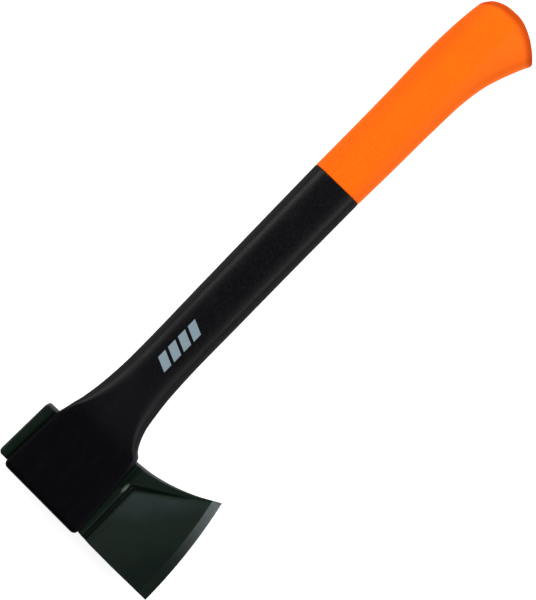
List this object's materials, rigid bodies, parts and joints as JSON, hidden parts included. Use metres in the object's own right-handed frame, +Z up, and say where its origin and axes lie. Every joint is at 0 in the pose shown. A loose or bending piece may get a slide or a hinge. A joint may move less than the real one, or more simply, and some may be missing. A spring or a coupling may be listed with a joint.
{
  "type": "hatchet",
  "caption": "One-handed hatchet: a forged head with a flat poll and a bearded blade, held in a moulded housing on a hollow plastic handle with a soft flared grip.",
  "frame": {"origin": "on the lower flat cheek of the housing, under the point where the handle's axis crosses the head, 24 mm in from the crown", "axes": "+X along the handle from the head to the butt, +Y towards the poll with the cutting edge towards -Y, +Z up out of the upper cheek; the axe lies on its side on z = 0"},
  "size_m": [0.3598, 0.1109, 0.03],
  "materials": {
    "coated_steel": "satin anti-friction coating, very dark green",
    "black_nylon": "black glass-filled nylon with a fine moulded texture",
    "orange_elastomer": "matte orange thermoplastic elastomer",
    "plug_nylon": "dark nylon, hidden under the grip"
  },
  "bodies": {
    "root": {"axe_head": "coated_steel", "handle_shell": "black_nylon", "grip_sleeve": "orange_elastomer", "end_plug": "plug_nylon"}
  },
  "joints": []
}
